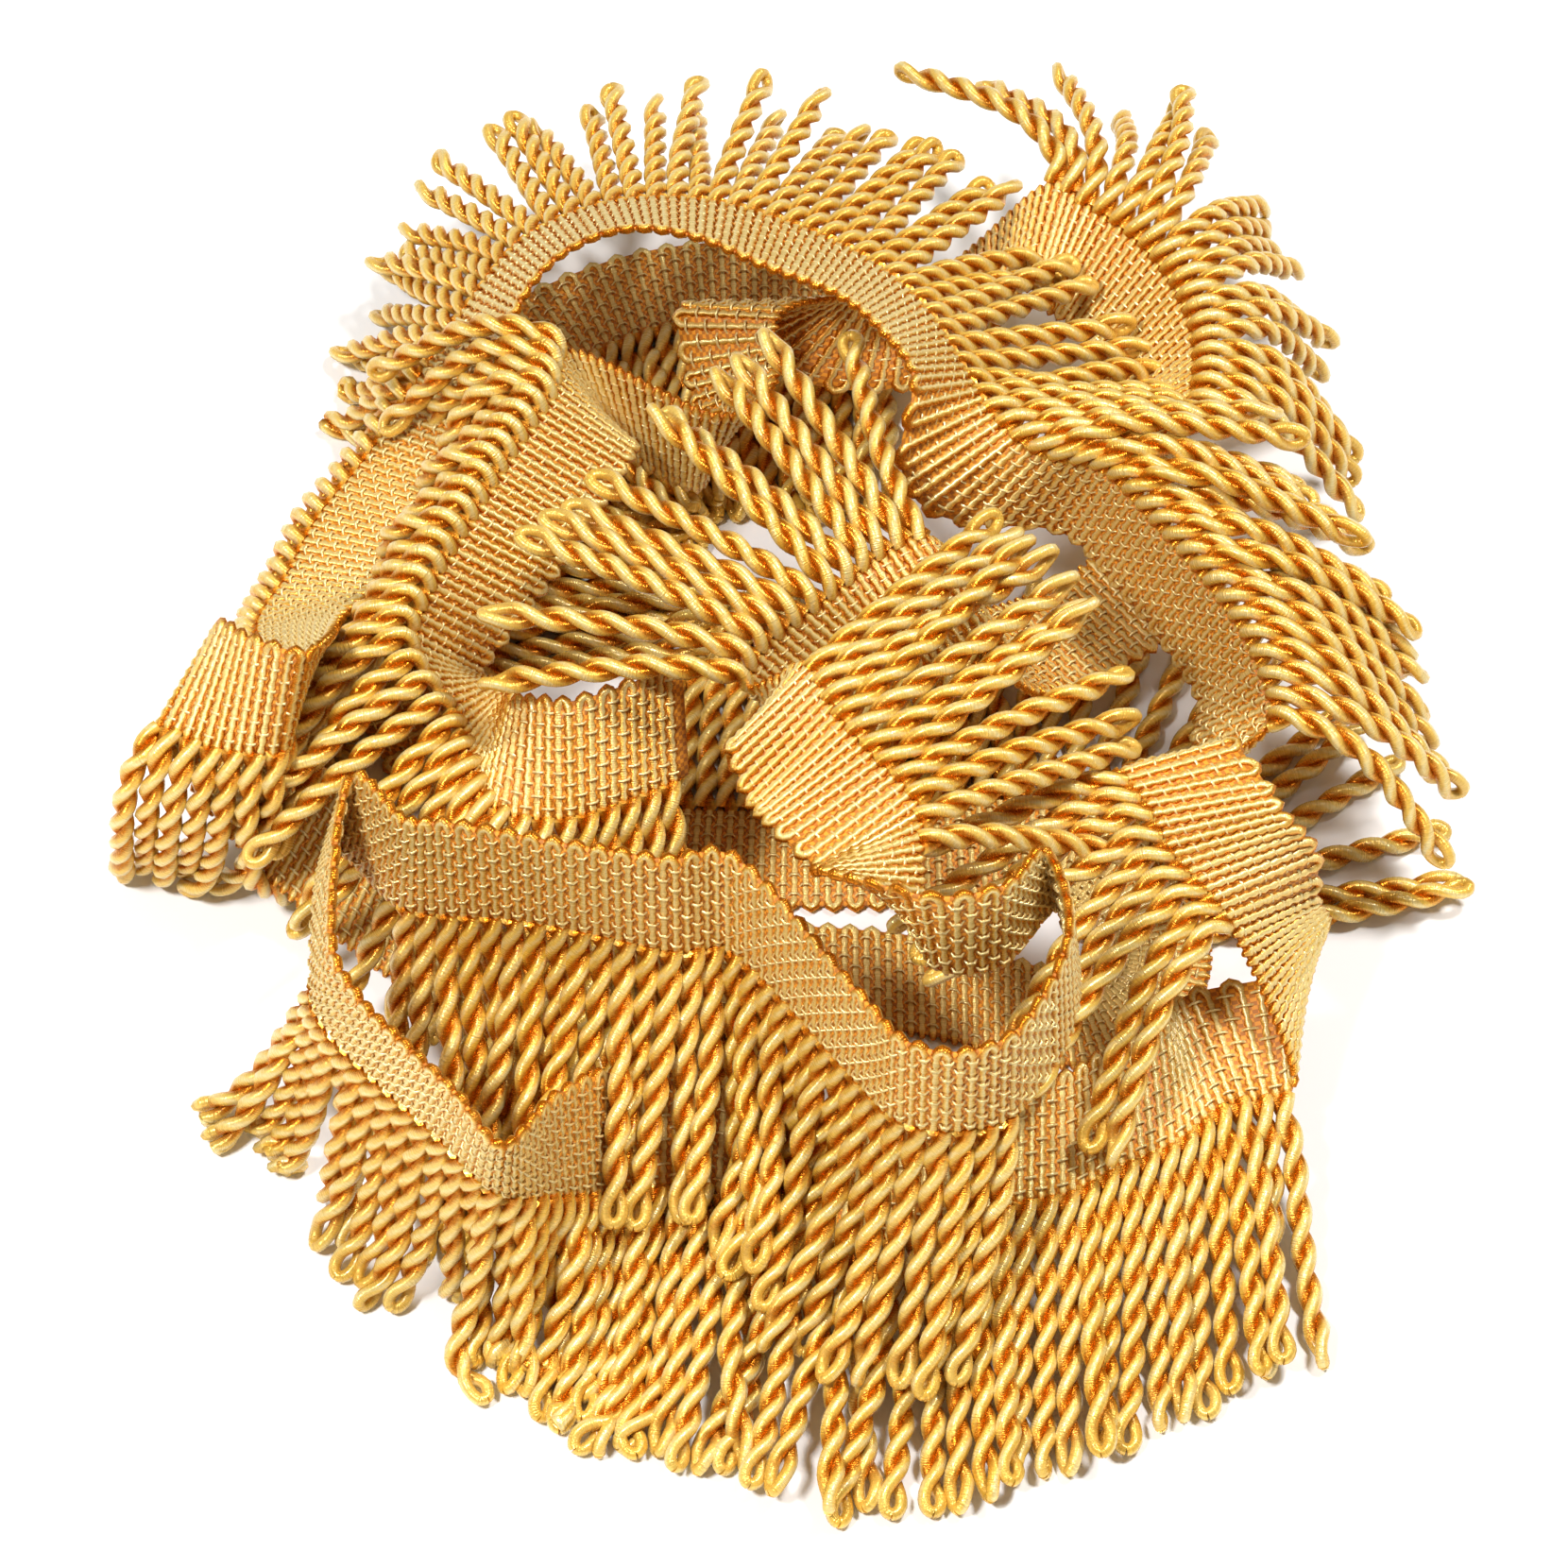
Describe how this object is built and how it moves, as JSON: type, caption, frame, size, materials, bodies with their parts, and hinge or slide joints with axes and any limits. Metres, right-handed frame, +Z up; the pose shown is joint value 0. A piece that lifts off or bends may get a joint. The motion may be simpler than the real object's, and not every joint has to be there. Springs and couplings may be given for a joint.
{
  "type": "bullion fringe trim",
  "caption": "Length of gold bullion fringe, a woven heading tape with looped twisted cords, lying in a loose wound heap.",
  "frame": {"origin": "on the floor, under the flat stretch of tape that the heap rests on", "axes": "+Z up, +X to the right and +Y to the back as the picture shows the heap"},
  "size_m": [0.1926, 0.2385, 0.066],
  "materials": {
    "heading": "satin yarn woven in ribs and bound by fine warp threads",
    "cord": "satin wrapped yarn twisted in two plies, with a bright line along each ply"
  },
  "bodies": {
    "root": {"heading_tape": "heading", "fringe_bed_back": "cord", "fringe_bed_corner": "cord", "fringe_bed_left": "cord", "fringe_bed_front": "cord", "fringe_bed_side": "cord", "fringe_bed_right": "cord", "fringe_left_tuft": "cord", "fringe_left_side": "cord", "fringe_back_arch": "cord", "fringe_right_side": "cord", "fringe_right_fold": "cord", "fringe_front_right": "cord", "fringe_front": "cord", "fringe_front_left": "cord", "fringe_left_bowl": "cord", "fringe_front_fold": "cord", "fringe_crown": "cord", "fringe_centre": "cord", "fringe_back_right": "cord", "fringe_inner_left": "cord", "fringe_small_loop": "cord"}
  },
  "joints": []
}
